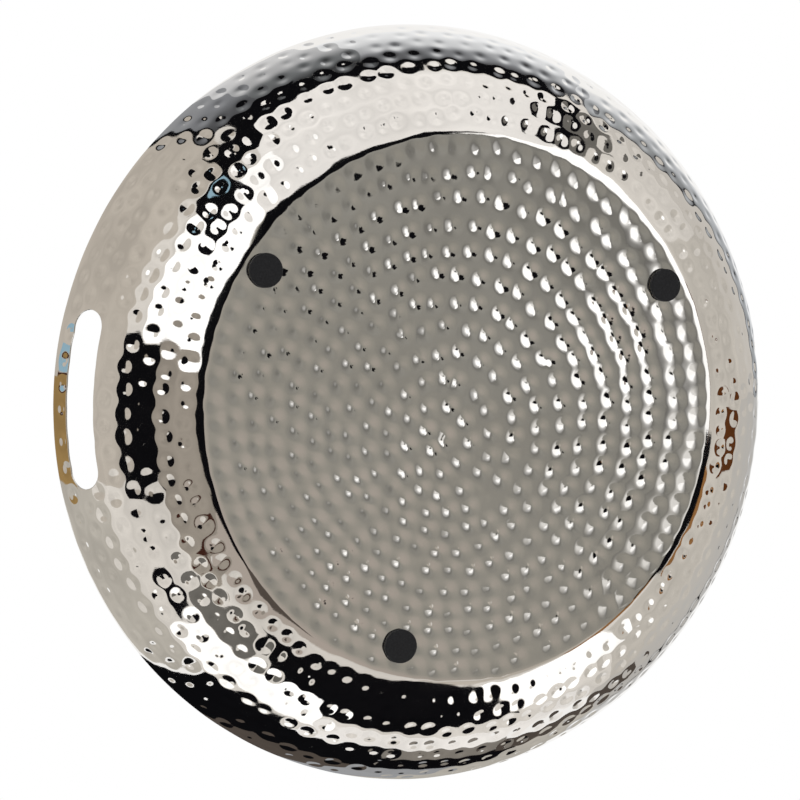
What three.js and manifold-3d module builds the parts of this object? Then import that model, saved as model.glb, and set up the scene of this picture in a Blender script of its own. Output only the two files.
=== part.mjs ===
// Round decorative tray: one polished metal sheet, spun to a flat base and a bulging wall, with two
// finger slots pierced through the wall, standing on three stick-on pads.
// Millimetres, +Z up. The pads stand on z = 0, the tray's axis is Z and the slots are on the X axis.
import * as THREE from "three";
import { mergeVertices } from "three/addons/utils/BufferGeometryUtils.js";
import Module from "manifold-3d";

// Tray body
const RIM_DIAMETER = 420; // over the outer face, at the rim
const BASE_DIAMETER = 291; // where the wall would meet the base if the edge were sharp
const WALL_RISE = 61; // from the underside of the base to the rim
const WALL_START_SLOPE = 11.5; // degrees above the base, where the wall leaves it
const BASE_EDGE_RADIUS = 15; // fillet between base and wall, on the outer face
const SHEET = 1; // thickness of the metal

// Finger slots
const SLOT_LENGTH = 95; // end to end, along the wall
const SLOT_HEIGHT = 20.5; // edge to edge, up the wall
const SLOT_TO_RIM = 12; // strip of wall left between slot and rim

// Stick-on pads
const PAD_DIAMETER = 18;
const PAD_THICKNESS = 2.5;
const PAD_EDGE_ROUND = 0.6;
const GLUE_THICKNESS = 0.3;
const GLUE_INSET = 0.4; // from the pad's side to the edge of its glue
const PADS = [
  // The pads are stuck on by hand: a direction in degrees from +X, and the distance that the pad
  // keeps from the edge of the flat base.
  { direction: -149, setback: 0.4 },
  { direction: -31, setback: 0.4 },
  { direction: 105.5, setback: 4 },
];

// Facets
const TRAY_SIDES = 96;
const WALL_STEPS = 12;
const EDGE_STEPS = 3;
const RIM_STEPS = 3;
const PAD_SIDES = 36;
const SLOT_POINTS = 72;

const baseRadius = BASE_DIAMETER / 2;
const rimRadius = RIM_DIAMETER / 2;
const undersideHeight = PAD_THICKNESS + GLUE_THICKNESS;

// The wall's outer face is one arc from the edge of the base to the rim. Angles along it are the
// slope of the sheet: 0 lies flat like the base, 90 degrees stands upright.
const startSlope = THREE.MathUtils.degToRad(WALL_START_SLOPE);
const wallChord = new THREE.Vector2(rimRadius - baseRadius, WALL_RISE);
const wallRadius = wallChord.length() / (2 * Math.sin(wallChord.angle() - startSlope));
const wallCentre = new THREE.Vector2(
  baseRadius - wallRadius * Math.sin(startSlope),
  wallRadius * Math.cos(startSlope),
);
const rimSlope = 2 * wallChord.angle() - startSlope;

// The fillet touches the base from above and the wall's arc from inside.
const edgeCentre = new THREE.Vector2(
  wallCentre.x +
    Math.sqrt((wallRadius - BASE_EDGE_RADIUS) ** 2 - (wallCentre.y - BASE_EDGE_RADIUS) ** 2),
  BASE_EDGE_RADIUS,
);
const edgeSlope = Math.atan2(edgeCentre.x - wallCentre.x, wallCentre.y - edgeCentre.y);
const flatBaseRadius = edgeCentre.x;

const metal = new THREE.MeshStandardMaterial({ color: 0xd2cdc5, metalness: 1, roughness: 0.1 });
const felt = new THREE.MeshStandardMaterial({ color: 0x1d1d1e, metalness: 0, roughness: 0.95 });
const glue = new THREE.MeshStandardMaterial({ color: 0xcfc8b4, metalness: 0, roughness: 0.6 });

const wasm = await Module();
wasm.setup();

// A closed three.js geometry as a solid that can be cut.
function solidFrom(geometry) {
  const bare = geometry.clone();
  bare.deleteAttribute("normal");
  bare.deleteAttribute("uv");
  const merged = mergeVertices(bare);
  const corners = merged.index.array;
  const triVerts = [];
  for (let i = 0; i < corners.length; i += 3) {
    const [a, b, c] = corners.slice(i, i + 3);
    if (a !== b && b !== c && c !== a) triVerts.push(a, b, c);
  }
  return new wasm.Manifold(
    new wasm.Mesh({
      numProp: 3,
      vertProperties: merged.attributes.position.array,
      triVerts: new Uint32Array(triVerts),
    }),
  );
}

function geometryFrom(solid) {
  const { vertProperties, triVerts } = solid.getMesh();
  const geometry = new THREE.BufferGeometry();
  geometry.setAttribute("position", new THREE.BufferAttribute(vertProperties, 3));
  geometry.setIndex(new THREE.BufferAttribute(triVerts, 1));
  geometry.computeVertexNormals();
  return geometry;
}

// A profile of radius and height turned round the Z axis.
function turned(profile, sides) {
  return new THREE.LatheGeometry(profile, sides).rotateX(Math.PI / 2);
}

// Points on an arc, from one slope to another, seen from its centre.
function slopeArc(centre, radius, fromSlope, toSlope, steps) {
  const points = [];
  for (let step = 0; step <= steps; step += 1) {
    const slope = THREE.MathUtils.lerp(fromSlope, toSlope, step / steps);
    points.push(
      new THREE.Vector2(centre.x + radius * Math.sin(slope), centre.y - radius * Math.cos(slope)),
    );
  }
  return points;
}

// One face of the sheet from the axis to the rim, set in from the outer face by a depth.
function sheetFace(depth) {
  const edge = slopeArc(edgeCentre, BASE_EDGE_RADIUS - depth, 0, edgeSlope, EDGE_STEPS);
  const wall = slopeArc(wallCentre, wallRadius - depth, edgeSlope, rimSlope, WALL_STEPS);
  return [new THREE.Vector2(0, depth), ...edge, ...wall.slice(1)];
}

function trayProfile() {
  const [rimMiddle] = slopeArc(wallCentre, wallRadius - SHEET / 2, rimSlope, rimSlope, 1);
  const rim = slopeArc(rimMiddle, SHEET / 2, rimSlope, rimSlope + Math.PI, RIM_STEPS);
  return [...sheetFace(0), ...rim.slice(1, -1), ...sheetFace(SHEET).reverse()];
}

// A round-ended cutter that stands square to the wall, bent round the tray so that the slot runs
// parallel to the rim.
function slotCutter() {
  const endRadius = SLOT_HEIGHT / 2;
  const endCentre = SLOT_LENGTH / 2 - endRadius;
  const outline = new THREE.Shape();
  outline.absarc(endCentre, 0, endRadius, -Math.PI / 2, Math.PI / 2);
  outline.absarc(-endCentre, 0, endRadius, Math.PI / 2, (3 * Math.PI) / 2);
  outline.closePath();
  const reach = endRadius + SHEET;
  const cutter = new THREE.ExtrudeGeometry(new THREE.Shape(outline.getSpacedPoints(SLOT_POINTS)), {
    depth: 2 * reach,
    bevelEnabled: false,
  });
  const slope = rimSlope - (SLOT_TO_RIM + endRadius) / wallRadius;
  const [middle] = slopeArc(wallCentre, wallRadius, slope, slope, 1);
  const place = cutter.attributes.position;
  for (let i = 0; i < place.count; i += 1) {
    const up = place.getY(i);
    const out = place.getZ(i) - reach;
    const turn = place.getX(i) / middle.x;
    const radius = middle.x + up * Math.cos(slope) + out * Math.sin(slope);
    const height = middle.y + up * Math.sin(slope) - out * Math.cos(slope);
    place.setXYZ(i, radius * Math.cos(turn), radius * Math.sin(turn), height);
  }
  return cutter;
}

function trayBody() {
  const shell = solidFrom(turned(trayProfile(), TRAY_SIDES));
  const rightSlot = slotCutter();
  const leftSlot = rightSlot.clone().rotateZ(Math.PI);
  const pierced = shell.subtract(solidFrom(rightSlot)).subtract(solidFrom(leftSlot));
  const body = new THREE.Mesh(geometryFrom(pierced), metal);
  body.name = "tray_body";
  body.position.z = undersideHeight;
  return body;
}

// A disc with its lower edge rounded over.
function padGeometry() {
  const radius = PAD_DIAMETER / 2;
  const corner = new THREE.Vector2(radius - PAD_EDGE_ROUND, PAD_EDGE_ROUND);
  return turned(
    [
      new THREE.Vector2(0, 0),
      ...slopeArc(corner, PAD_EDGE_ROUND, 0, Math.PI / 2, EDGE_STEPS),
      new THREE.Vector2(radius, PAD_THICKNESS),
      new THREE.Vector2(0, PAD_THICKNESS),
    ],
    PAD_SIDES,
  );
}

function glueGeometry() {
  const radius = PAD_DIAMETER / 2 - GLUE_INSET;
  return turned(
    [
      new THREE.Vector2(0, 0),
      new THREE.Vector2(radius, 0),
      new THREE.Vector2(radius, GLUE_THICKNESS),
      new THREE.Vector2(0, GLUE_THICKNESS),
    ],
    PAD_SIDES,
  );
}

// A pad with its layer of glue on top, standing where it is stuck to the base.
function stickOnPad({ direction, setback }, number) {
  const pad = new THREE.Mesh(padGeometry(), felt);
  pad.name = `foot_pad_${number}`;
  const layer = new THREE.Mesh(glueGeometry(), glue);
  layer.name = `pad_adhesive_${number}`;
  layer.position.z = PAD_THICKNESS;
  const distance = flatBaseRadius - setback - PAD_DIAMETER / 2;
  const angle = THREE.MathUtils.degToRad(direction);
  const foot = new THREE.Group();
  foot.position.set(distance * Math.cos(angle), distance * Math.sin(angle), 0);
  foot.add(pad, layer);
  return foot;
}

const tray = new THREE.Group();
tray.add(trayBody());
PADS.forEach((pad, index) => tray.add(stickOnPad(pad, index + 1)));

export default tray;
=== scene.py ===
# %% [markdown]
# # A hammered metal tray, seen from below
# The tray is one sheet of polished metal, spun to a flat base and a bulging wall, hammered all over
# in rings and pierced by two finger slots. Three black felt pads are stuck under the base. The
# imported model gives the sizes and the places, and this script adds what solids leave out: the
# dents, the polish and the felt.

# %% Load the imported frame
import math
from functools import partialmethod

import bpy
import numpy as np
from mathutils import Matrix, Vector


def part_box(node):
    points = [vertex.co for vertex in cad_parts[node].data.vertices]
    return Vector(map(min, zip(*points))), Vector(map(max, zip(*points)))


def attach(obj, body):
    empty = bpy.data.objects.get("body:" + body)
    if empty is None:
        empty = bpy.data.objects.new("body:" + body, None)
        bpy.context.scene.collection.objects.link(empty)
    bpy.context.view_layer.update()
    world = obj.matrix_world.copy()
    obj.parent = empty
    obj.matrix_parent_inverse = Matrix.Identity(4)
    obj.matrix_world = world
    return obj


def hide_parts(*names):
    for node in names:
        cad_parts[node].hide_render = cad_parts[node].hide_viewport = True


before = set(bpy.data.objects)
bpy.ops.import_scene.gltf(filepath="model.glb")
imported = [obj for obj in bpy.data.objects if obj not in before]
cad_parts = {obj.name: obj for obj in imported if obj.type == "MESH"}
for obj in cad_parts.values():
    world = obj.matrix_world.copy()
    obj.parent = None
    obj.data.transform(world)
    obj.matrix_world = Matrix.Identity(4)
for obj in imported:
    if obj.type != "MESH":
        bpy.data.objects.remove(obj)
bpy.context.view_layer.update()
MM = 0.001
scene = bpy.context.scene
scene.view_settings.view_transform = "Standard"
print("nodes:", sorted(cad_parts))

# %% [markdown]
# ## Camera
# The tray lies upside down in the picture and is seen from a little to one side. Here it stands
# upright, so the camera goes under it and looks up. A camera is placed by the point that it looks
# at, the direction that it looks from, its distance, and its turn about its line of sight.

# %% Camera
CAMERA_TARGET = Vector((-33.4, -3.4, 16.2)) * MM
CAMERA_AZIMUTH = math.radians(-175.4)
CAMERA_ELEVATION = math.radians(-68.3)
CAMERA_ROLL = math.radians(-84.1)
CAMERA_DISTANCE = 1260 * MM
CAMERA_LENS = 106.5  # on a sensor 36 wide


def direction(azimuth, elevation):
    level = math.cos(elevation)
    return Vector((level * math.cos(azimuth), level * math.sin(azimuth), math.sin(elevation)))


def placed(name, data):
    """A new object, linked into the scene."""
    made = bpy.data.objects.new(name, data)
    scene.collection.objects.link(made)
    return made


def camera_matrix():
    back = direction(CAMERA_AZIMUTH, CAMERA_ELEVATION)
    level_right = Vector((0, 0, 1)).cross(back).normalized()
    level_up = back.cross(level_right)
    right = math.cos(CAMERA_ROLL) * level_right + math.sin(CAMERA_ROLL) * level_up
    up = back.cross(right)
    turn = Matrix((right, up, back)).transposed().to_4x4()
    return Matrix.Translation(CAMERA_TARGET + CAMERA_DISTANCE * back) @ turn


camera_data = bpy.data.cameras.new("camera")
camera_data.lens = CAMERA_LENS
camera = placed("camera", camera_data)
camera.matrix_world = camera_matrix()
scene.camera = camera
print("camera at", [round(v, 3) for v in camera.matrix_world.translation])

# %% [markdown]
# ## A desk for node trees
# Shaders and Geometry Nodes are both made of nodes that are joined by links. A few short calls
# place a node, set or link its inputs, and hand back its output, so that a sum reads like a sum.


# %% Node desk
def socket(bank, name):
    """The socket of that name that the node shows for its present settings."""
    return next(s for s in bank if s.name == name and s.enabled)


class Desk:
    """Places nodes in one tree and joins them."""

    def __init__(self, tree):
        self.tree = tree

    def feed(self, targets, values):
        """Link each socket to another one, or set it to a plain value."""
        for target, value in zip(targets, values):
            if isinstance(value, bpy.types.NodeSocket):
                self.tree.links.new(value, target)
            else:
                target.default_value = value

    def node(self, kind, inputs=None, **settings):
        made = self.tree.nodes.new(kind)
        for name, value in settings.items():
            setattr(made, name, value)
        inputs = inputs or {}
        self.feed([socket(made.inputs, name) for name in inputs], inputs.values())
        return made

    def out(self, kind, inputs=None, output=0, **settings):
        made = self.node(kind, inputs, **settings)
        return socket(made.outputs, output) if isinstance(output, str) else made.outputs[output]

    def math(self, operation, *values):
        made = self.node("ShaderNodeMath", operation=operation)
        self.feed(made.inputs, values)
        return made.outputs[0]

    plus = partialmethod(math, "ADD")
    minus = partialmethod(math, "SUBTRACT")
    times = partialmethod(math, "MULTIPLY")
    over = partialmethod(math, "DIVIDE")
    times_plus = partialmethod(math, "MULTIPLY_ADD")

    def vector(self, operation, *values):
        made = self.node("ShaderNodeVectorMath", operation=operation)
        self.feed(made.inputs, values)
        return next(s for s in made.outputs if s.enabled)

    def scaled(self, vector, factor):
        inputs = {"Vector": vector, "Scale": factor}
        return self.out("ShaderNodeVectorMath", inputs, operation="SCALE")

    def mixed(self, share, first, second):
        """A colour between two colours."""
        inputs = {"Factor": share, "A": (*first, 1), "B": (*second, 1)}
        return self.out("ShaderNodeMix", inputs, "Result", data_type="RGBA")

    def ranged(self, value, low, high, at_low=0.0, at_high=1.0, **settings):
        """A value moved from one range to another."""
        names = ("Value", "From Min", "From Max", "To Min", "To Max")
        inputs = dict(zip(names, (value, low, high, at_low, at_high)))
        return self.out("ShaderNodeMapRange", inputs, "Result", **settings)

    def place(self):
        """Where a point lies on its own object."""
        return self.out("ShaderNodeTexCoord", output="Object")

    def surface(self, shader):
        self.node("ShaderNodeOutputMaterial", {"Surface": shader})


def shader_tree(name):
    """A new material with an empty tree, as (material, desk)."""
    material = bpy.data.materials.new(name)
    material.use_nodes = True
    material.node_tree.nodes.clear()
    return material, Desk(material.node_tree)


print("node desk ready")

# %% [markdown]
# ## White surroundings
# The picture is taken on white. The world is white for the camera and for what the metal mirrors,
# and a little dimmer as a lamp, so that it lights the felt at a plain level.

# %% World
WORLD_LAMP_LEVEL = 0.75

world = bpy.data.worlds.new("white_surroundings")
world.use_nodes = True
world.node_tree.nodes.clear()
desk = Desk(world.node_tree)
light_path = desk.node("ShaderNodeLightPath")
seen = desk.math(
    "MAXIMUM",
    desk.math("MAXIMUM", light_path.outputs["Is Camera Ray"], light_path.outputs["Is Glossy Ray"]),
    light_path.outputs["Is Transmission Ray"],
)
level = desk.times_plus(seen, 1 - WORLD_LAMP_LEVEL, WORLD_LAMP_LEVEL)
glow = desk.out("ShaderNodeBackground", {"Color": (1, 1, 1, 1), "Strength": level})
desk.node("ShaderNodeOutputWorld", {"Surface": glow})
scene.world = world
print("world lamp level:", WORLD_LAMP_LEVEL)

# %% [markdown]
# ## Floor
# The tray stands on a pale floor, which shows in every view from above and takes the tray's shadow.
# The camera of the picture is under that floor, so the floor lets through whatever meets its back,
# and every ray that has come through it once. A second sheet lies on it that only mirrored
# rays meet, and it is painted shade: it glows darkest round the tray's foot, a painted shadow of
# the tray, and has one painted dark edge further out, because an even floor would hide the dents of
# the outer wall from every view above it.

# %% Floor
FLOOR_HALF_WIDTH = 6.0
FLOOR_DROP = 0.2 * MM
FLOOR_CLOUD = {"Scale": 3.0, "Detail": 3.0}
FLOOR_TINTS = (0.86, 0.86, 0.855), (0.89, 0.89, 0.885)


def seen_from_above(desk, shader):
    """A shader that is clear from behind, and for rays that have come through it once."""
    depth = desk.out("ShaderNodeLightPath", output="Transparent Depth")
    behind = desk.out("ShaderNodeNewGeometry", output="Backfacing")
    hidden = desk.math("MAXIMUM", behind, desk.math("GREATER_THAN", depth, 0.5))
    clear = desk.out("ShaderNodeBsdfTransparent", {"Color": (1, 1, 1, 1)})
    mixed = desk.node("ShaderNodeMixShader")
    desk.feed(mixed.inputs, (hidden, shader, clear))
    return mixed.outputs[0]


def floor_finish():
    material, desk = shader_tree("pale_floor")
    cloud = desk.out("ShaderNodeTexNoise", {"Vector": desk.place(), **FLOOR_CLOUD}, "Fac")
    paint = desk.out("ShaderNodeBsdfDiffuse", {"Color": desk.mixed(cloud, *FLOOR_TINTS)})
    desk.surface(seen_from_above(desk, paint))
    return material


def new_object(name, vertices, faces, material):
    mesh = bpy.data.meshes.new(name)
    mesh.from_pydata(vertices, [], faces)
    mesh.materials.append(material)
    return placed(name, mesh)


def level_square(name, half_width, drop, material):
    """A flat square under the tray's foot, as part of the stage."""
    signs = ((-1, -1), (1, -1), (1, 1), (-1, 1))
    corners = [(x * half_width, y * half_width, -drop) for x, y in signs]
    made = new_object(name, corners, [(0, 1, 2, 3)], material)
    return made


level_square("floor", FLOOR_HALF_WIDTH, FLOOR_DROP, floor_finish())
print("floor", 2 * FLOOR_HALF_WIDTH, "m wide")

# %% Painted floor shade for the mirror
SHADE_HALF_WIDTH = 0.5
SHADE_DROP = 0.1 * MM
# distance from the tray's axis, and how bright the sheet is there; the dark stops near the foot are
# a painted shadow
FLOOR_SHADE_LEVELS = [
    (0.150, 0.04), (0.185, 0.20), (0.205, 0.40), (0.232, 0.72), (0.262, 0.84), (0.272, 0.30),
    (0.300, 0.22), (0.380, 0.45), (0.500, 0.80),
]


def ramp_of(desk, value, stops):
    """A colour that changes with a value, from its colours at some values."""
    first, last = stops[0][0], stops[-1][0]
    ramp = desk.node("ShaderNodeValToRGB", {"Fac": desk.ranged(value, first, last)})
    marks = ramp.color_ramp.elements
    for spot, _ in stops[1:-1]:
        marks.new((spot - first) / (last - first))
    for mark, (_, colour) in zip(marks, stops):
        mark.color = (*colour, 1)
    return ramp.outputs["Color"]


# painted shade: the sheet glows darkest round the tray's foot, a painted shadow of the tray for
# mirrored rays
def floor_shade_finish():
    material, desk = shader_tree("mirrored_floor_shade")
    stops = [(radius, (level, level, level)) for radius, level in FLOOR_SHADE_LEVELS]
    colour = ramp_of(desk, desk.vector("LENGTH", desk.place()), stops)
    glow = desk.out("ShaderNodeEmission", {"Color": colour})
    desk.surface(seen_from_above(desk, glow))
    return material


def only_mirrored(card):
    """Leave a card to mirrored rays alone."""
    card.visible_camera = False
    card.visible_diffuse = False
    card.visible_shadow = False


# a sheet of painted shade, just above the floor, that only mirrored rays meet
only_mirrored(level_square("mirrored_floor_shade", SHADE_HALF_WIDTH, SHADE_DROP, floor_shade_finish()))
print("mat", 2 * SHADE_HALF_WIDTH, "m wide")

# %% [markdown]
# ## Mottling, shared by the finishes
# No real surface is even: polish is hazier here and there, felt is denser in tufts, glue is thicker
# in streaks, walls are cloudy. All of it comes from noise that runs between two values, so one node
# group serves every finish.

# %% Mottling group
NOISE_LOW, NOISE_HIGH = 0.3, 0.7  # nearly all of the noise lies between these


def mottling_group():
    group = bpy.data.node_groups.new("mottling", "ShaderNodeTree")
    face = group.interface
    face.new_socket("Vector", in_out="INPUT", socket_type="NodeSocketVector")
    for name in ("Scale", "Detail", "Low", "High"):
        face.new_socket(name, in_out="INPUT", socket_type="NodeSocketFloat")
    face.new_socket("Value", in_out="OUTPUT", socket_type="NodeSocketFloat")
    desk = Desk(group)
    given = desk.node("NodeGroupInput").outputs
    inputs = {name: given[name] for name in ("Vector", "Scale", "Detail")}
    noise = desk.out("ShaderNodeTexNoise", inputs, "Fac")
    spread = desk.ranged(noise, NOISE_LOW, NOISE_HIGH, given["Low"], given["High"])
    desk.node("NodeGroupOutput", {"Value": spread})
    return group


MOTTLING = mottling_group()


def mottled(desk, place, scale, low=0.0, high=1.0, detail=3.0):
    inputs = {"Vector": place, "Scale": scale, "Detail": detail, "Low": low, "High": high}
    return desk.out("ShaderNodeGroup", inputs, "Value", node_tree=MOTTLING)


print("mottling group has", len(MOTTLING.nodes), "nodes")

# %% [markdown]
# ## What the mirror sees
# A polished tray has no look of its own: it shows the room. Cards stand for that room, as in a
# product studio. Walls, boards, flags and windows have one colour each, a little cloudy as paint
# is. The ceiling, the table tops and the edges of a window run from one tone to another: a colour
# ramp reads how far a point of the card lies along a given way. A net of gauze dims the ceiling
# towards the window.

# %% Card colours
CARD_COLOURS = {
    "beige_wall": (0.33, 0.297, 0.257),
    "warm_wall": (0.535, 0.492, 0.438),
    "cream_wall": (0.74, 0.71, 0.67),
    "top_wall": (0.92, 0.90, 0.88),
    "pale_wall": (0.51, 0.485, 0.44),
    "sand_wall": (0.585, 0.555, 0.51),
    "black_flag": (0.004, 0.004, 0.005),
    "dark_board": (0.155, 0.148, 0.136),
    "stone_board": (0.23, 0.212, 0.19),
    "brown_board": (0.05, 0.018, 0.012),
    "amber_board": (0.10, 0.034, 0.010),
    "ochre_board": (0.27, 0.13, 0.045),
    "gold_board": (0.33, 0.215, 0.085),
    "blue_board": (0.30, 0.47, 0.58),
    "umber_board": (0.085, 0.070, 0.060),
    "slate_board": (0.34, 0.35, 0.37),
    "white_window": (1.3, 1.3, 1.3),
}
LEVEL_WAY = (-0.707, 0.707, 0.0)
UPWARD = (0.0, 0.0, 1.0)


def toward(azimuth, elevation):
    return direction(math.radians(azimuth), math.radians(elevation))


def by_elevation(*stops, way=UPWARD):
    """Colours at some elevations in degrees, as a way and the places along it."""
    return way, [(math.sin(math.radians(angle)), colour) for angle, colour in stops]


# the way along which the colour changes, and its colours at some places along that
GRADED_COLOURS = {
    "ceiling": (
        LEVEL_WAY,
        [
            (-0.40, (0.330, 0.322, 0.296)), (-0.30, (0.308, 0.300, 0.273)),
            (-0.25, (0.290, 0.280, 0.252)), (-0.17, (0.322, 0.308, 0.273)),
            (-0.04, (0.388, 0.357, 0.318)), (0.20, (0.44, 0.39, 0.35)),
        ],
    ),
    "window_edge": by_elevation(
        (-61, (0.15, 0.146, 0.137)), (-59.3, (0.38, 0.375, 0.365)), (-57.5, (0.56, 0.555, 0.545)),
        (-55.5, (1.1, 1.1, 1.1)),
    ),
    "glow_edge": by_elevation(
        (-61.5, (0.19, 0.185, 0.17)), (-59.5, (0.34, 0.332, 0.31)), (-57, (0.52, 0.51, 0.49)),
        (-54.5, (0.80, 0.79, 0.77)),
    ),
    "grey_table": by_elevation(
        (6, (0.05, 0.052, 0.056)), (26, (0.23, 0.24, 0.26)), (56, (0.36, 0.37, 0.39)),
    ),
    "silver_table": by_elevation(
        (5, (0.05, 0.052, 0.056)), (15, (0.17, 0.18, 0.19)), (26, (0.44, 0.45, 0.47)),
        (44, (0.72, 0.73, 0.75)),
    ),
    "bright_table": by_elevation(
        (4, (0.07, 0.072, 0.078)), (12, (0.26, 0.27, 0.29)), (22, (0.66, 0.68, 0.71)),
        (38, (0.95, 0.97, 1.0)),
    ),
    "table_edge": by_elevation(
        (-20, (0.59, 0.56, 0.52)), (-0.8, (0.62, 0.595, 0.56)), (-0.6, (0.03, 0.03, 0.035)),
        (0.6, (0.03, 0.03, 0.035)), (0.9, (0.24, 0.25, 0.265)), (5, (0.38, 0.40, 0.42)),
        (10, (0.50, 0.52, 0.55)), (14, (0.72, 0.74, 0.77)), (19, (1.0, 1.0, 1.0)),
        way=toward(321, 4.3).cross(toward(351, 26)).normalized(),
    ),
    "soft_table": by_elevation(
        (2, (0.55, 0.53, 0.50)), (28, (0.50, 0.49, 0.475)), (38, (0.56, 0.56, 0.56)),
        (44, (1.0, 1.0, 1.0)),
    ),
}
# a net of gauze that darkens towards the window, by the share of light that it lets through
WINDOW_WAY = toward(343, -46)
NET_COLOURS = {
    "window_net": (
        WINDOW_WAY,
        [
            (0.883, (1.0, 1.0, 1.0)), (0.920, (0.94, 0.94, 0.94)), (0.940, (0.82, 0.82, 0.82)),
            (0.957, (0.62, 0.62, 0.62)),
        ],
    ),
}
print(len(CARD_COLOURS), "plain colours and", len(GRADED_COLOURS), "graded ones")

# %% Card finishes
CLOUD_SCALE = 0.9
CLOUD_SHARES = (0.86, 1.12)  # of the card's colour, at its darkest and at its brightest


def card_finish(name, colour_of, shader="ShaderNodeEmission"):
    material, desk = shader_tree(name)
    desk.surface(desk.out(shader, {"Color": colour_of(desk, desk.place())}))
    return material


def plain_card(name, colour):
    """An even colour, a little cloudy as any wall is."""

    def colour_of(desk, place):
        tones = ([share * c for c in colour] for share in CLOUD_SHARES)
        return desk.mixed(mottled(desk, place, CLOUD_SCALE), *tones)

    return card_finish(name, colour_of)


def graded_card(name, way, stops, shader="ShaderNodeEmission"):
    """A colour that changes along a way through the room."""

    def colour_of(desk, place):
        along = desk.vector("DOT_PRODUCT", desk.vector("NORMALIZE", place), way)
        return ramp_of(desk, along, stops)

    return card_finish(name, colour_of, shader)


card_finishes = {name: plain_card(name, colour) for name, colour in CARD_COLOURS.items()}
card_finishes.update({name: graded_card(name, *grade) for name, grade in GRADED_COLOURS.items()})
for name, grade in NET_COLOURS.items():
    card_finishes[name] = graded_card(name, *grade, shader="ShaderNodeBsdfTransparent")
print(len(card_finishes), "card finishes")

# %% [markdown]
# ## Hang the cards
# Each card is a patch of a sphere round the tray, given by its span of azimuth and elevation. It
# hangs in front of the cards before it in the list, so the large ones come first. Only mirrored
# rays meet the cards, so they don't light the felt.

# %% Studio cards
CARD_DISTANCE = 4.0
CARD_LAYER = 0.002  # of the distance, by which each card hangs in front of the one before it
CARD_STEP = 5.0  # degrees between the corners of a card's mesh
# finish, and each card that has it: azimuth from and to, elevation from and to, in degrees
CARDS = [
    ("ceiling", (0, 360, -90, -47)),
    ("window_net", (290, 400, -82, -47)),
    ("cream_wall", (0, 360, -47, 6)),
    ("grey_table", (238, 252, 6, 60)),
    ("silver_table", (252, 274, 4, 48)),
    ("bright_table", (274, 314, 4, 40)),
    ("table_edge", (314, 360, -4, 50)),
    ("soft_table", (360, 404, 2, 44)),
    ("sand_wall", (338, 400, -36, 2)),
    ("pale_wall", (118, 160, 6, 46)),
    ("ceiling", (150, 300, 60, 90)),
    ("beige_wall", (122, 200, -80, -44)),
    ("cream_wall", (40, 122, -57, -44)),
    ("warm_wall", (28, 57, -54, -46)),
    ("top_wall", (246, 318, -66, -6)),
    ("warm_wall", (160, 240, -20, 60)),
    ("white_window", (194, 250, -78, -32)),
    ("glow_edge", (5, 15, -61.5, -50)),
    ("window_edge", (318, 365, -61, -55)),
    ("white_window", (318, 365, -55, -38), (318, 340, -60, -48)),
    ("black_flag", (5, 16, -49, -31), (16, 24, -49, -33)),
    ("ochre_board", (8, 24, -32, -28), (24, 38, -47, -40)),
    ("amber_board", (346, 366, -38, -36.5)),
    ("umber_board", (76, 100, -72, -62)),
    (
        "black_flag",
        (86, 132, -83, -71), (110, 205, -88, -74), (200, 292, -87, -72.5), (262, 313, -79, -74),
        (262, 324, -74, -68), (252, 290, -75, -64.5), (280, 320, -72, -59.5),
        (298, 313, -62, -53.5), (225, 240, -52, -22), (235, 248, -27, -4), (243, 259, -9, 9),
        (238, 240, 4, 56), (254, 284, -7, 4), (284, 309, -4, 4), (308.5, 312.5, -26, -3),
        (312, 317, -40, -24),
    ),
    ("dark_board", (312.5, 319, -24, -6), (317, 322, -38, -22)),
    ("blue_board", (231, 235, -31, -27)),
    ("amber_board", (1, 9, -20, -6)),
    ("black_flag", (12, 40, 29, 30.5)),
    ("white_window", (34, 56, -43, -17)),
    ("black_flag", (57, 104, -50, -12)),
    ("top_wall", (46, 92, -6, 6)),
    ("stone_board", (57, 78, 7, 20)),
    ("pale_wall", (42, 62, 23, 60)),
    ("slate_board", (60, 77, 29, 60)),
    ("umber_board", (76, 98, 32, 58)),
    ("black_flag", (76, 98, 7, 32), (54, 78, 20, 33)),
    ("umber_board", (36, 57, 11, 23)),
    ("white_window", (92, 127, -24, 0)),
    ("dark_board", (108, 131, -42, -25)),
    ("brown_board", (127, 131, -66, -46)),
    ("black_flag", (97, 116, 2, 54), (128, 138, -20, -10), (156, 193, -47, -20)),
    ("gold_board", (159, 182, 27, 46)),
    ("brown_board", (182, 183.5, 27, 40)),
    ("blue_board", (184, 190, 26, 38)),
]


def card_angles(span):
    """Evenly spaced angles over a span in degrees, as radians."""
    return np.radians(np.linspace(*span, 1 + math.ceil(np.ptp(span) / CARD_STEP)))


def grid_faces(ids):
    """Four-cornered faces of a grid, from the numbers of its corners."""
    around = [ids[:-1, :-1], ids[:-1, 1:], ids[1:, 1:], ids[1:, :-1]]
    return np.stack(around, axis=-1).reshape(-1, 4)


def studio_card(number, finish, azimuths, elevations):
    distance = CARD_DISTANCE * (1 - CARD_LAYER * number)
    across, upward = card_angles(azimuths), card_angles(elevations)
    corners = [distance * direction(a, e) for e in upward for a in across]
    faces = grid_faces(np.arange(len(corners)).reshape(len(upward), len(across)))
    card = new_object(f"card_{number:02d}", corners, faces.tolist(), finish)
    only_mirrored(card)


spans = [(name, span) for name, *group in CARDS for span in group]
for number, (name, span) in enumerate(spans):
    studio_card(number, card_finishes[name], span[:2], span[2:])
print(len(spans), "studio cards")

# %% [markdown]
# ## Lamp
# One large soft lamp overhead gives the floor a shadow with a direction. The cards already give the
# metal its highlights, so the lamp itself isn't mirrored.

# %% Lamp
LAMP_PLACE = Vector((-0.7, -0.9, 2.0))
LAMP_SIZE = 1.2
LAMP_WATTS = 14

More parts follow.
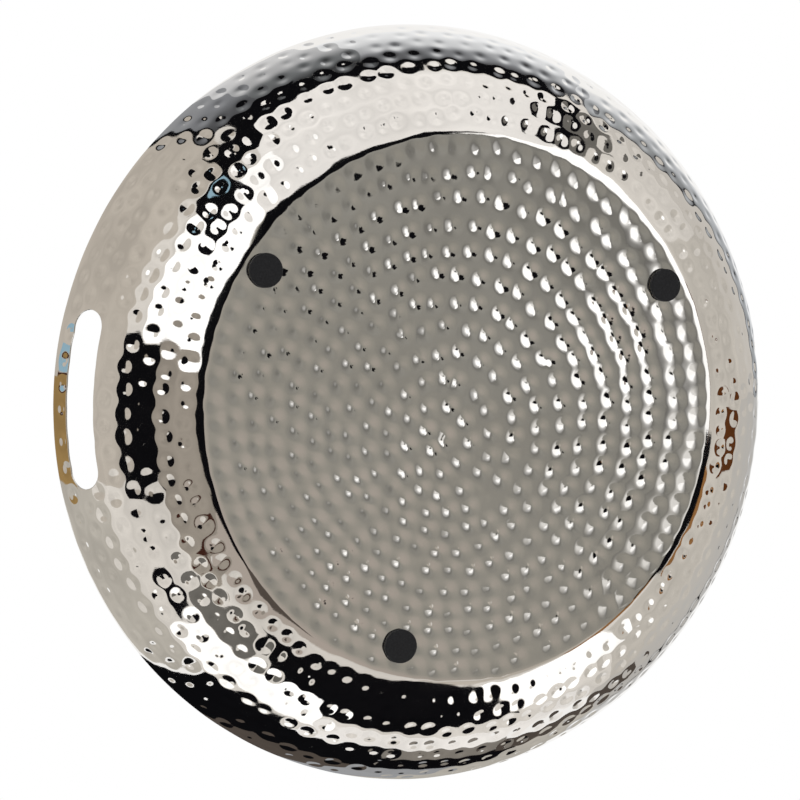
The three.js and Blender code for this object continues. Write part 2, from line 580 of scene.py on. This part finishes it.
lamp_data = bpy.data.lights.new("soft_lamp", "AREA")
lamp_data.size = LAMP_SIZE
lamp_data.energy = LAMP_WATTS
lamp = placed("soft_lamp", lamp_data)
lamp.location = LAMP_PLACE
lamp.rotation_euler = (-LAMP_PLACE).to_track_quat("-Z", "Y").to_euler()
lamp.visible_glossy = False
print("lamp of", LAMP_WATTS, "W")

# %% [markdown]
# ## Polished metal
# The sheet is mirror bright with the faint warm tone of nickel. Polishing leaves it slightly hazy
# in patches and with hair-fine marks, which show only where a reflection has an edge. The metal's
# colour and its roughness vary by the mottling, and a very small bump makes the marks.

# %% Polished metal finish
METAL_TONES = (0.83, 0.805, 0.77), (0.88, 0.86, 0.83)
TONE_SCALE = 14.0
HAZE_SCALE = 45.0
HAZE_RANGE = 0.02, 0.055  # of the roughness
MARK_SCALE = 260.0
MARK_STRETCH = (1.0, 9.0, 1.0)
MARK_BUMP = {"Strength": 0.03, "Distance": 0.05 * MM}


def polished_metal():
    material, desk = shader_tree("polished_metal")
    place = desk.place()
    stretched = desk.out("ShaderNodeMapping", {"Vector": place, "Scale": MARK_STRETCH})
    marks = mottled(desk, stretched, MARK_SCALE, detail=2.0)
    metal = desk.out(
        "ShaderNodeBsdfPrincipled",
        {
            "Base Color": desk.mixed(mottled(desk, place, TONE_SCALE), *METAL_TONES),
            "Metallic": 1.0,
            "Roughness": mottled(desk, place, HAZE_SCALE, *HAZE_RANGE),
            "Normal": desk.out("ShaderNodeBump", {"Height": marks, **MARK_BUMP}, "Normal"),
        },
    )
    desk.surface(metal)
    return material


METAL = polished_metal()
print("finish:", METAL.name)

# %% [markdown]
# ## Shape of the sheet
# The sheet's outer face is a flat disc, a fillet and one long arc up to the rim, turned round the
# tray's axis. It could be made with Spin or a lathe, but a mesh that is dented needs small even
# faces everywhere. So the flat part is a square grid bent onto a disc, which has no pole in the
# middle, and the wall is a grid round the axis that starts from the disc's own edge.

# %% Profile of the sheet
BASE_RADIUS = 145.5 * MM
WALL_RISE = 61 * MM
WALL_START_SLOPE = math.radians(11.5)
EDGE_RADIUS = 15 * MM
SHEET = 1 * MM

tray_low, tray_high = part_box("tray_body")
underside = tray_low[2]
rim_radius = tray_high[0]
chord = Vector((rim_radius - BASE_RADIUS, WALL_RISE))
chord_slope = math.atan2(chord.y, chord.x)
wall_radius = chord.length / (2 * math.sin(chord_slope - WALL_START_SLOPE))
wall_centre_r = BASE_RADIUS - wall_radius * math.sin(WALL_START_SLOPE)
wall_centre_z = underside + wall_radius * math.cos(WALL_START_SLOPE)
rim_slope = 2 * chord_slope - WALL_START_SLOPE
edge_rise = wall_centre_z - underside - EDGE_RADIUS
flat_radius = wall_centre_r + math.sqrt((wall_radius - EDGE_RADIUS) ** 2 - edge_rise**2)
edge_slope = math.atan2(flat_radius - wall_centre_r, edge_rise)
edge_arc = flat_radius + EDGE_RADIUS * edge_slope  # along the sheet from the axis to the wall
rim_arc = edge_arc + wall_radius * (rim_slope - edge_slope)


def turned(radius, turn, height):
    """Points by their distance from an axis, their turn round it and their height."""
    parts = (radius * np.cos(turn), radius * np.sin(turn), height)
    return np.stack(np.broadcast_arrays(*parts), axis=-1)


def on_sheet(arc, turn):
    """Points of the outer face, by the way along the sheet from the axis and the turn round it."""
    bend = np.clip((arc - flat_radius) / EDGE_RADIUS, 0, edge_slope)
    slope = bend + np.maximum(arc - edge_arc, 0) / wall_radius
    radius = np.minimum(arc, flat_radius) + EDGE_RADIUS * np.sin(bend)
    height = underside + EDGE_RADIUS * (1 - np.cos(bend))
    wall = arc > edge_arc
    radius = np.where(wall, wall_centre_r + wall_radius * np.sin(slope), radius)
    height = np.where(wall, wall_centre_z - wall_radius * np.cos(slope), height)
    return turned(radius, turn, height)


print(f"wall arc of {wall_radius / MM:.1f} mm, rim slope {math.degrees(rim_slope):.1f} degrees")

# %% [markdown]
# ## Grid of the sheet with its finger slots
# A slot is a round-ended opening that runs parallel to the rim. Grid faces whose middle lies inside
# the opening are left out, and the corners that this bares move onto the opening's outline.

# %% Outline of a slot
SLOT_LENGTH = 95 * MM
SLOT_HEIGHT = 20.5 * MM
SLOT_TO_RIM = 12 * MM
TINY = 1e-9  # keeps a division from meeting nought

slot_end = SLOT_HEIGHT / 2
slot_arc = rim_arc - SLOT_TO_RIM - slot_end
slot_radius = wall_centre_r + wall_radius * math.sin(
    rim_slope - (SLOT_TO_RIM + slot_end) / wall_radius
)


def from_slot_outline(arc, turn):
    """Distance outwards from the nearer slot's outline, and the nearest place on it."""
    side = np.where(np.cos(turn) > 0, 0.0, np.pi)
    along = slot_radius * ((turn - side + np.pi) % (2 * np.pi) - np.pi)
    up = arc - slot_arc
    straight = SLOT_LENGTH / 2 - slot_end
    spine = np.clip(along, -straight, straight)
    away = np.hypot(along - spine, up)
    pull = slot_end / np.maximum(away, TINY)
    nearest_turn = side + (spine + (along - spine) * pull) / slot_radius
    return away - slot_end, slot_arc + up * pull, nearest_turn


print(f"slots of {SLOT_LENGTH / MM:.1f} by {SLOT_HEIGHT / MM:.1f} mm")

# %% Grid of the sheet
DISC_CELLS = 360  # along each side of the square grid
WALL_ROWS = 110

columns = 4 * DISC_CELLS


def disc_grid():
    """Arc, turn and faces of a square grid bent onto the disc inside the wall."""
    line = np.linspace(-1, 1, DISC_CELLS + 1)
    a, b = np.meshgrid(line, line, indexing="ij")
    wide = np.abs(a) > np.abs(b)
    reach = np.where(wide, a, b)
    other = np.where(wide, b, a)
    lean = np.pi / 4 * np.divide(other, reach, out=np.zeros_like(a), where=reach != 0)
    turn = np.where(wide, lean, np.pi / 2 - lean) + np.where(reach < 0, np.pi, 0)
    faces = grid_faces(np.arange(a.size).reshape(a.shape))
    return np.abs(reach).ravel() * edge_arc, turn.ravel() % (2 * np.pi), faces


def round_faces(ids):
    """Faces of a grid whose rows each close round an axis."""
    return grid_faces(np.hstack([ids, ids[:, :1]]))


def sheet_grid():
    """Arc and turn of every corner of the sheet, its base faces and its wall faces."""
    arc, turn, base_faces = disc_grid()
    ring = np.nonzero(arc > edge_arc * (1 - TINY))[0]
    ring = ring[np.argsort(np.round(turn[ring] * columns / (2 * np.pi)) % columns)]
    rows = np.linspace(edge_arc, rim_arc, WALL_ROWS + 1)[1:]
    wall_arc, wall_turn = np.meshgrid(rows, turn[ring], indexing="ij")
    ids = np.concatenate([ring, arc.size + np.arange(wall_arc.size)]).reshape(-1, columns)
    wall_faces = round_faces(ids)
    arc = np.concatenate([arc, wall_arc.ravel()])
    turn = np.concatenate([turn, wall_turn.ravel()])
    middle_turn = turn[wall_faces[:, 0]] + np.pi / columns
    outside = from_slot_outline(arc[wall_faces].mean(axis=1), middle_turn)[0] > 0
    bared = np.intersect1d(wall_faces[outside], wall_faces[~outside])
    _, arc[bared], turn[bared] = from_slot_outline(arc[bared], turn[bared])
    return arc, turn, base_faces, wall_faces[outside]


sheet_arc, sheet_turn, base_faces, wall_faces = sheet_grid()
print(len(base_faces), "faces in the base and", len(wall_faces), "in the wall")

# %% [markdown]
# ## Hammer dents
# The smith worked in rings: twelve on the base, closing in on a point a little off its middle, and
# eight rows up the wall. A tree of Geometry Nodes repeats the blow by rule. What can be tuned is an
# input of that tree, and the kind of each input follows from its value.

# %% Dent inputs
HAMMER_INPUTS = {
    "Base rings": 12,
    "Outer ring": flat_radius - 4.6 * MM,
    "Ring drift": (-18 * MM, 18 * MM, 0),
    "Base spacing": 12.2 * MM,
    "Base dent": 1.75 * MM,
    "Base depth": 0.32,
    "Light force": 0.66,
    "Hard force": 0.42,
    "Hard place": (75 * MM, -55 * MM, 0),
    "Hard reach": 130 * MM,
    "Low force": 0.16,
    "Low place": (-70 * MM, 100 * MM, 0),
    "Low reach": 100 * MM,
    "Middle force": 0.24,
    "Middle reach": 36 * MM,
    "Firm place": (-6 * MM, 8 * MM, 0),
    "Firm reach": 120 * MM,
    "Faint reach": 152 * MM,
    "Faint force": 0.35,
    "Dish": 6.0 * MM,
    "Dish depth": 0.26 * MM,
    "Wall rows": 8,
    "Row blows": 92,
    "Row pitch": 10.5 * MM,
    "First row": 9.0 * MM,
    "Wall dent": 2.0 * MM,
    "Wall depth": 0.26,
    "Wobble": 1.6 * MM,
    "Groove depth": 0.05 * MM,
    "Deep groove": 0.36 * MM,
    "Deep place": (90 * MM, -38 * MM, 0),
    "Deep reach": 44 * MM,
    "Wave depth": 0.5 * MM,
    "Seed": 5,
}
SOCKET_KINDS = {int: "NodeSocketInt", float: "NodeSocketFloat", tuple: "NodeSocketVector"}
# what each random draw adds to the seed
DRAWS = {"hand": 0, "along": 2, "up": 3, "wall size": 4, "base force": 5, "wall force": 6}
print(len(HAMMER_INPUTS), "inputs for the dents")

# %% [markdown]
# ## Where the blows fall
# Each blow is a point. Its place follows from its number by a formula, with a seeded wobble for the
# hand that held the hammer. The point's radius is the size of the mark, and two more numbers are
# stored on it: how steeply the hammer bites, and how deep a dish the blow leaves round the mark. On
# the base a harder blow also leaves a wider mark.

# %% Tools for the blows
BUMP_POWER = 2.0


def drawn(desk, given, draw, low, high, kind="FLOAT"):
    """A random value for each point."""
    seed = desk.plus(given["Seed"], DRAWS[draw])
    inputs = {"Min": low, "Max": high, "Seed": seed}
    return desk.out("FunctionNodeRandomValue", inputs, "Value", data_type=kind)


def bump_of(desk, squared, power=BUMP_POWER):
    """A smooth bump of height 1, from the squared distance as a share of its radius."""
    return desk.math("POWER", desk.math("MAXIMUM", desk.minus(1.0, squared), 0.0), power)


def squared_share(desk, away, reach):
    """The squared length of a vector, as a share of a reach."""
    squared = desk.vector("DOT_PRODUCT", away, away)
    return desk.over(squared, desk.math("POWER", reach, 2.0))


def nearness(desk, given, place, spot, reach):
    """1 at a spot, fading to 0 at its reach."""
    off = desk.vector("SUBTRACT", place, given[spot])
    return bump_of(desk, squared_share(desk, off, given[reach]))


def round_axis(desk, radius, turn, height):
    """A place by its distance from the tray's axis, its turn round it and its height."""
    return desk.out(
        "ShaderNodeCombineXYZ",
        {
            "X": desk.times(radius, desk.math("COSINE", turn)),
            "Y": desk.times(radius, desk.math("SINE", turn)),
            "Z": height,
        },
    )


def blows_at(desk, count, place, size, **marks):
    """Points with a size and some named numbers stored on each of them."""
    points = desk.out("GeometryNodePoints", {"Count": count, "Position": place, "Radius": size})
    for name, value in marks.items():
        points = desk.out(
            "GeometryNodeStoreNamedAttribute",
            {"Geometry": points, "Name": name, "Value": value},
            data_type="FLOAT",
            domain="POINT",
        )
    return points


print("bumps of power", BUMP_POWER)

# %% Blows on the base
GOLDEN_TURN = math.pi * (3 - math.sqrt(5))
BASE_FORCES = 0.75, 1.2  # the range of the hand's force
SIZE_BY_FORCE = 0.65  # the share of a mark's size that grows with the force


def base_force(desk, given, place):
    """Harder in two parts of the base and where the rings close in, and faint near its far edge."""
    force = given["Light force"]
    for part, spot in (("Hard", "Hard place"), ("Low", "Low place"), ("Middle", "Ring drift")):
        share = nearness(desk, given, place, spot, f"{part} reach")
        force = desk.times_plus(share, given[f"{part} force"], force)
    fade = desk.ranged(
        desk.vector("DISTANCE", place, given["Firm place"]),
        given["Firm reach"],
        given["Faint reach"],
        at_low=1.0,
        at_high=given["Faint force"],
        interpolation_type="SMOOTHSTEP",
    )
    hand = drawn(desk, given, "base force", *BASE_FORCES)
    return desk.times(desk.times(force, fade), hand)


def base_blows(desk, given, index):
    """Points in rings: ring k has its share of the index by the area that it covers."""
    rings = given["Base rings"]
    pitch = desk.over(given["Outer ring"], desk.minus(rings, 0.5))
    share = desk.over(given["Base spacing"], desk.times(pitch, math.pi))
    count = desk.over(desk.math("POWER", rings, 2.0), share)
    ring = desk.math("FLOOR", desk.math("SQRT", desk.times(index, share)))
    first = desk.over(desk.math("POWER", ring, 2.0), share)
    held = desk.over(desk.times_plus(ring, 2.0, 1.0), share)
    part = desk.over(desk.minus(index, first), held)
    turn = desk.plus(desk.times(part, 2 * math.pi), desk.times(ring, GOLDEN_TURN))
    radius = desk.times(desk.plus(ring, 0.5), pitch)
    inward = desk.minus(1.0, desk.over(radius, given["Outer ring"]))
    drift = desk.scaled(given["Ring drift"], inward)
    ringed = desk.vector("ADD", round_axis(desk, radius, turn, underside), drift)
    hand = drawn(desk, given, "hand", (-1, -1, 0), (1, 1, 0), "FLOAT_VECTOR")
    place = desk.vector("ADD", ringed, desk.scaled(hand, given["Wobble"]))
    force = base_force(desk, given, place)
    size = desk.times_plus(force, SIZE_BY_FORCE, 1 - SIZE_BY_FORCE)
    return blows_at(
        desk,
        count,
        place,
        desk.times(size, given["Base dent"]),
        bite=desk.times(force, given["Base depth"]),
        dish=given["Dish depth"],
    )


print("force on the base between", *BASE_FORCES)

# %% Blows on the wall
WALL_FORCES = 0.6, 1.2
WALL_SIZES = 0.85, 1.15
STRAY = 0.16  # along a row, as a share of the step from blow to blow


def wall_blows(desk, given, index):
    """Points in rows up the wall, each row turned half a step from the one below it."""
    blows = given["Row blows"]
    row = desk.math("FLOOR", desk.over(index, blows))
    along = desk.minus(index, desk.times(row, blows))
    step = desk.plus(along, desk.times(row, 0.5))
    step = desk.plus(step, drawn(desk, given, "along", -STRAY, STRAY))
    turn = desk.times(desk.over(step, blows), 2 * math.pi)
    up = desk.times_plus(row, given["Row pitch"], given["First row"])
    up = desk.times_plus(drawn(desk, given, "up", -1.0, 1.0), given["Wobble"], up)
    slope = desk.plus(desk.over(up, wall_radius), edge_slope)
    radius = desk.times_plus(desk.math("SINE", slope), wall_radius, wall_centre_r)
    height = desk.times_plus(desk.math("COSINE", slope), -wall_radius, wall_centre_z)
    size = drawn(desk, given, "wall size", *WALL_SIZES)
    force = drawn(desk, given, "wall force", *WALL_FORCES)
    return blows_at(
        desk,
        desk.times(given["Wall rows"], blows),
        round_axis(desk, radius, turn, height),
        desk.times(size, given["Wall dent"]),
        bite=desk.times(force, given["Wall depth"]),
        dish=0.0,
    )


print("force on the wall between", *WALL_FORCES)

# %% [markdown]
# ## How deep they press
# Every point of the sheet looks up the blow that is nearest to it. The mark of a blow is a bell
# curve, on the base with a dish round it, and each row of blows lies in a shallow furrow. A slow
# noise stands for the slight waves of a sheet that was shaped by hand, and a little blur rounds the
# lines where two blows meet. The tree then moves the point inwards by the sum of these.

# %% Depth of the dents
SKIRT_POWER = 1.25  # of the dish round a mark
WAVE_SCALE = 32.0
BLUR_STEPS = 2


def from_nearest(desk, blows, nearest, value, kind="FLOAT"):
    """What a value is at the nearest blow."""
    inputs = {"Geometry": blows, "Value": value, "Index": nearest}
    return desk.out("GeometryNodeSampleIndex", inputs, "Value", data_type=kind, domain="POINT")


def groove_depth(desk, given, place, away):
    """The shallow furrow along each row, deeper in one place on the base."""
    around = desk.vector("NORMALIZE", desk.vector("CROSS_PRODUCT", (0, 0, 1), place))
    along = desk.scaled(around, desk.vector("DOT_PRODUCT", away, around))
    across = desk.vector("SUBTRACT", away, along)
    half_pitch = desk.times(given["Row pitch"], 0.5)
    furrow = bump_of(desk, squared_share(desk, across, half_pitch))
    deep = nearness(desk, given, place, "Deep place", "Deep reach")
    depth = desk.times_plus(deep, given["Deep groove"], given["Groove depth"])
    return desk.times(depth, furrow)


def press_depth(desk, given, blows):
    """How far the sheet is pressed in at each of its points."""
    place = desk.out("GeometryNodeInputPosition")
    nearest = desk.out("GeometryNodeSampleNearest", {"Geometry": blows}, domain="POINT")
    blow = from_nearest(desk, blows, nearest, place, "FLOAT_VECTOR")
    stored = [
        desk.out("GeometryNodeInputNamedAttribute", {"Name": name}, data_type="FLOAT")
        for name in ("bite", "dish")
    ]
    size, bite, dish = (
        from_nearest(desk, blows, nearest, value)
        for value in (desk.out("GeometryNodeInputRadius"), *stored)
    )
    away = desk.vector("SUBTRACT", place, blow)
    core = desk.math("EXPONENT", desk.times(squared_share(desk, away, size), -0.5))
    core = desk.times(core, desk.times(size, bite))
    skirt = bump_of(desk, squared_share(desk, away, given["Dish"]), SKIRT_POWER)
    mark = desk.plus(core, desk.times(skirt, dish))
    wave = desk.out("ShaderNodeTexNoise", {"Scale": WAVE_SCALE, "Detail": 1.0}, "Fac")
    groove = groove_depth(desk, given, place, away)
    depth = desk.times_plus(wave, given["Wave depth"], groove)
    blur = {"Value": desk.plus(mark, depth), "Iterations": BLUR_STEPS}
    return desk.out("GeometryNodeBlurAttribute", blur, "Value", data_type="FLOAT")


print("depth blurred", BLUR_STEPS, "times")


# %% Dent tree
def hammer_tree():
    tree = bpy.data.node_groups.new("hammer_dents", "GeometryNodeTree")
    face = tree.interface
    face.new_socket("Sheet", in_out="INPUT", socket_type="NodeSocketGeometry")
    for name, value in HAMMER_INPUTS.items():
        face.new_socket(name, in_out="INPUT", socket_type=SOCKET_KINDS[type(value)])
    face.new_socket("Sheet", in_out="OUTPUT", socket_type="NodeSocketGeometry")
    desk = Desk(tree)
    given = desk.node("NodeGroupInput").outputs
    index = desk.out("GeometryNodeInputIndex")
    joined = desk.node("GeometryNodeJoinGeometry")
    for points in (base_blows(desk, given, index), wall_blows(desk, given, index)):
        tree.links.new(points, joined.inputs[0])
    depth = press_depth(desk, given, joined.outputs[0])
    inward = desk.scaled(desk.out("GeometryNodeInputNormal"), desk.times(depth, -1.0))
    pressed = desk.out("GeometryNodeSetPosition", {"Geometry": given["Sheet"], "Offset": inward})
    real = desk.out("GeometryNodeRealizeInstances", {"Geometry": pressed})
    dressed = desk.out("GeometryNodeSetMaterial", {"Geometry": real, "Material": METAL})
    desk.node("NodeGroupOutput", {"Sheet": dressed})
    return tree


HAMMER = hammer_tree()
print("dent tree has", len(HAMMER.nodes), "nodes")

# %% [markdown]
# ## Press the dents in
# The tree runs as a modifier on the bare sheet. Its result becomes a plain mesh, from which the
# corners and the directions that they face are read.


# %% Press the dents
def vectors_of(items, name):
    """A vector that each item of a mesh has, one row for each item."""
    values = np.empty(len(items) * 3)
    items.foreach_get(name, values)
    return values.reshape(-1, 3)


def hammered_sheet():
    """Corners of the dented outer face and their outward directions."""
    smooth = on_sheet(sheet_arc, sheet_turn)
    faces = np.concatenate([base_faces, wall_faces])
    sheet = new_object("bare_sheet", smooth, faces.tolist(), METAL)
    sheet.data.shade_smooth()
    modifier = sheet.modifiers.new("hammer", "NODES")
    modifier.node_group = HAMMER
    for item in HAMMER.interface.items_tree:
        if item.in_out == "INPUT" and item.name in HAMMER_INPUTS:
            modifier[item.identifier] = HAMMER_INPUTS[item.name]
    graph = bpy.context.evaluated_depsgraph_get()
    dented = bpy.data.meshes.new_from_object(sheet.evaluated_get(graph))
    corners = vectors_of(dented.vertices, "co")
    facing = vectors_of(dented.vertex_normals, "vector")
    bare_mesh = sheet.data
    bpy.data.objects.remove(sheet)
    bpy.data.meshes.remove(bare_mesh)
    bpy.data.meshes.remove(dented)
    deepest = np.linalg.norm(corners - smooth, axis=1).max()
    print(f"deepest point {deepest / MM:.2f} mm under the face")
    return corners, facing


sheet_corners, sheet_facing = hammered_sheet()
print(len(sheet_corners), "corners in the hammered face")

# %% [markdown]
# ## Give the sheet its thickness
# A Solidify modifier could do this, but the sheet has too many faces for one piece, and pieces that
# are cut apart must still look like one. So three bands of the base and four quarters of the wall
# are each closed by hand: the face, its twin one sheet further in, a rounded lip along every free
# edge, and flat walls where two pieces meet. Every corner keeps the direction of the whole sheet,
# which hides the joins.


# %% Free edges of the sheet
def edge_keys(edges):
    """One number for each edge, whichever way it runs."""
    return np.sort(edges, axis=1) @ np.array([len(sheet_corners), 1])


def border(faces):
    """Edges that only one face has, in that face's direction."""
    edges = np.stack([faces, np.roll(faces, -1, axis=1)], axis=-1).reshape(-1, 2)
    _, where, count = np.unique(edge_keys(edges), return_index=True, return_counts=True)
    return edges[where[count == 1]]


def lip_directions():
    """For each corner on a free edge, the direction that leaves the sheet there."""
    run = sheet_corners[free_edges[:, 1]] - sheet_corners[free_edges[:, 0]]
    out = np.zeros_like(sheet_corners)
    for end in (0, 1):
        np.add.at(out, free_edges[:, end], np.cross(run, sheet_facing[free_edges[:, end]]))
    return out / np.maximum(np.linalg.norm(out, axis=1, keepdims=True), TINY)


free_edges = border(np.concatenate([base_faces, wall_faces]))
lip_out = lip_directions()
print(len(free_edges), "free edges round the rim and the slots")


# %% Close a piece of the sheet
def flat_facing(points, faces):
    """One direction for each face, repeated for its corners."""
    across = np.cross(
        points[faces[:, 1]] - points[faces[:, 0]], points[faces[:, 2]] - points[faces[:, 0]]
    )
    across /= np.maximum(np.linalg.norm(across, axis=1, keepdims=True), TINY)
    return np.repeat(across[:, None], faces.shape[1], axis=1)


def closed_piece(name, points, groups):
    """A mesh object from groups of faces, each with a direction for every corner of its faces."""
    corners = np.concatenate([faces.ravel() for faces, _ in groups])
    facing = np.concatenate([directions.reshape(-1, 3) for _, directions in groups])
    sizes = np.concatenate([np.full(len(faces), faces.shape[1]) for faces, _ in groups])
    kept, corners = np.unique(corners, return_inverse=True)
    mesh = bpy.data.meshes.new(name)
    mesh.vertices.add(len(kept))
    mesh.vertices.foreach_set("co", points[kept].ravel())
    mesh.loops.add(len(corners))
    mesh.loops.foreach_set("vertex_index", corners.astype(np.int32))
    mesh.polygons.add(len(sizes))
    mesh.polygons.foreach_set("loop_start", (np.cumsum(sizes) - sizes).astype(np.int32))
    mesh.update(calc_edges=True)
    mesh.shade_smooth()
    mesh.normals_split_custom_set(facing.tolist())
    mesh.materials.append(METAL)
    return placed(name, mesh)


def strip(edges, first, second):
    """Faces along some edges, between two layers of corners."""
    a, b = edges.T
    return np.stack([b + first, a + first, a + second, b + second], axis=-1)


def sheet_piece(name, faces):
    """A closed piece of the sheet, from some of its outer faces."""
    inner_corners = sheet_corners - SHEET * sheet_facing
    lip_corners = (sheet_corners + inner_corners + SHEET * lip_out) / 2
    points = np.concatenate([sheet_corners, inner_corners, lip_corners])
    outer, inner, lip = (layer * len(sheet_corners) for layer in range(3))
    facing = np.concatenate([sheet_facing, -sheet_facing, lip_out])
    edges = border(faces)
    is_free = np.isin(edge_keys(edges), edge_keys(free_edges))
    free, seam = edges[is_free], edges[~is_free]
    lip_faces = np.concatenate([strip(free, outer, lip), strip(free, lip, inner)])
    seam_faces = strip(seam, outer, inner)
    starts = np.intersect1d(seam[:, 1], free[:, 0])[:, None]
    ends = np.intersect1d(free[:, 1], seam[:, 0])[:, None]
    caps = np.concatenate([starts + [outer, inner, lip], ends + [outer, lip, inner]])
    groups = [(group, facing[group]) for group in (faces, faces[:, ::-1] + inner, lip_faces)]
    groups += [(group, flat_facing(points, group)) for group in (seam_faces, caps)]
    piece = closed_piece(name, points, groups)
    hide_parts("tray_body")
    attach(piece, "root")
    triangles = sum(len(polygon.vertices) - 2 for polygon in piece.data.polygons)
    print(name, triangles, "triangles")


print("one sheet of", SHEET / MM, "mm")

# %% Pieces of the sheet
BASE_BANDS = ("right", "middle", "left")
WALL_QUARTERS = ("right", "back", "left", "front")

base_bands = np.array_split(base_faces, len(BASE_BANDS))
for name, faces in zip(BASE_BANDS, base_bands[::-1]):
    sheet_piece(f"tray_base_{name}", faces)
wall_turn = sheet_turn[wall_faces[:, 0]] + 0.5 * math.pi / columns
wall_quarter = np.floor(wall_turn / (math.pi / 2) + 0.5).astype(int) % len(WALL_QUARTERS)
for number, name in enumerate(WALL_QUARTERS):
    sheet_piece(f"tray_wall_{name}", wall_faces[wall_quarter == number])

# %% [markdown]
# ## Felt pads
# The pads are stamped from pressed felt: flat black discs with softened edges and a fine nap. They
# are turned from a profile, and a small seeded unevenness keeps their sides from looking machined.
# The nap itself is finer than any mesh, so the finish makes it with noise in colour and bump.

# %% Felt finish
FELT_TONES = (0.005, 0.005, 0.006), (0.022, 0.022, 0.024)
TUFT_SCALE = 900.0
FIBRE_SCALE = 3800.0
TUFT_SHARE = 0.4  # of the nap; the rest of it is fibres
NAP_BUMP = {"Strength": 0.6, "Distance": 0.15 * MM}
FELT_ROUGHNESS = 1200.0, 0.88, 1.0  # scale of the pattern, lowest and highest


def black_felt():
    material, desk = shader_tree("black_felt")
    place = desk.place()
    tufts = mottled(desk, place, TUFT_SCALE, detail=2.0)
    fibres = mottled(desk, place, FIBRE_SCALE, detail=4.0)
    fibres = desk.times(fibres, 1 - TUFT_SHARE)
    nap = desk.times_plus(tufts, TUFT_SHARE, fibres)
    felt = desk.out(
        "ShaderNodeBsdfPrincipled",
        {
            "Base Color": desk.mixed(nap, *FELT_TONES),
            "Roughness": mottled(desk, place, *FELT_ROUGHNESS),
            "Specular IOR Level": 0.15,
            "Sheen Weight": 0.12,
            "Sheen Roughness": 0.5,
            "Normal": desk.out("ShaderNodeBump", {"Height": nap, **NAP_BUMP}, "Normal"),
        },
    )
    desk.surface(felt)
    return material


FELT = black_felt()
print("finish:", FELT.name)

# %% Profile of a pad
PAD_EDGE = 0.6 * MM
PAD_RINGS = 12  # on each flat face
PAD_HUB = 0.1  # of the flat's radius, where its first ring lies
PAD_STEPS = 5  # round an edge and up the side


def outline(radii, heights):
    return np.stack(np.broadcast_arrays(radii, heights), axis=-1)


def quarter_round(r, z, size, start):
    """Points of a quarter circle, as radius and height."""
    turns = start + np.linspace(0, np.pi / 2, PAD_STEPS)
    return outline(r + size * np.cos(turns), z + size * np.sin(turns))


def pad_profile(radius, bottom, top):
    """Radius and height from the middle of the underside round to the middle of the top."""
    lip = PAD_EDGE / 2
    flat = np.linspace(PAD_HUB, 1, PAD_RINGS) * (radius - PAD_EDGE)
    side = np.linspace(PAD_EDGE, top - lip, PAD_STEPS)[1:-1]
    return np.concatenate(
        [
            outline(flat, bottom),
            quarter_round(radius - PAD_EDGE, bottom + PAD_EDGE, PAD_EDGE, -np.pi / 2)[1:],
            outline(radius, side),
            quarter_round(radius - lip, top - lip, lip, 0),
            outline(flat[::-1][1:], top),
        ]
    )


print(f"edges rounded by {PAD_EDGE / MM:.1f} mm")

# %% Felt pads
PAD_COLUMNS = 96
PAD_ROUGHNESS = 0.06 * MM


def felt_pad(node, seed):
    low, high = (np.array(corner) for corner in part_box(node))
    middle, radius, top = (low + high) / 2, (high[0] - low[0]) / 2, high[2]
    profile = pad_profile(radius, low[2], top)
    turns = np.linspace(0, 2 * np.pi, PAD_COLUMNS, endpoint=False)
    uneven = np.random.default_rng(seed).uniform(-1, 0, (len(profile), PAD_COLUMNS)) * PAD_ROUGHNESS
    reach = profile[:, :1] + uneven * (profile[:, :1] > radius - PAD_EDGE)
    rows = (turned(reach, turns, profile[:, 1:]) + [*middle[:2], 0]).reshape(-1, 3)
    ids = np.arange(len(rows)).reshape(len(profile), PAD_COLUMNS)
    poles = np.array([[*middle[:2], z] for z in (low[2], top)])
    faces = round_faces(ids).tolist()
    faces += [(len(rows), b, a) for a, b in zip(ids[0], np.roll(ids[0], -1))]
    faces += [(len(rows) + 1, a, b) for a, b in zip(ids[-1], np.roll(ids[-1], -1))]
    name = node.replace("foot_pad", "felt_pad")
    pad = new_object(name, np.concatenate([rows, poles]), faces, FELT)
    pad.data.shade_smooth()
    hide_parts(node)
    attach(pad, "root")
    print(pad.name, len(faces), "faces")


for number in (1, 2, 3):
    felt_pad(f"foot_pad_{number}", number)

# %% [markdown]
# ## Glue layers
# Between each pad and the base is a thin layer of glue, a little smaller than the pad. Its solid
# has the right shape already, so it stays and only gets a finish: a dull, streaky tan, made dark
# with painted shade because the layer lies set back under the pad's edge.

# %% Glue finish, darkened with painted shade
# the glue's streaky tan, in tones darker than the glue itself: painted shade for its recess under
# the pad
SHADED_GLUE_TONES = (0.15, 0.14, 0.11), (0.24, 0.22, 0.17)
STREAK_SCALE = 420.0
GLUE_ROUGHNESS = 700.0, 0.35, 0.6  # scale of the pattern, lowest and highest


def glue_with_painted_shade():
    material, desk = shader_tree("glue_with_painted_shade")
    place = desk.place()
    glue = desk.out(
        "ShaderNodeBsdfPrincipled",
        {
            "Base Color": desk.mixed(mottled(desk, place, STREAK_SCALE), *SHADED_GLUE_TONES),
            "Roughness": mottled(desk, place, *GLUE_ROUGHNESS),
        },
    )
    desk.surface(glue)
    return material


GLUE = glue_with_painted_shade()
for number in (1, 2, 3):
    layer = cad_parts[f"pad_adhesive_{number}"]
    layer.data.materials.clear()
    layer.data.materials.append(GLUE)
print("finish:", GLUE.name)
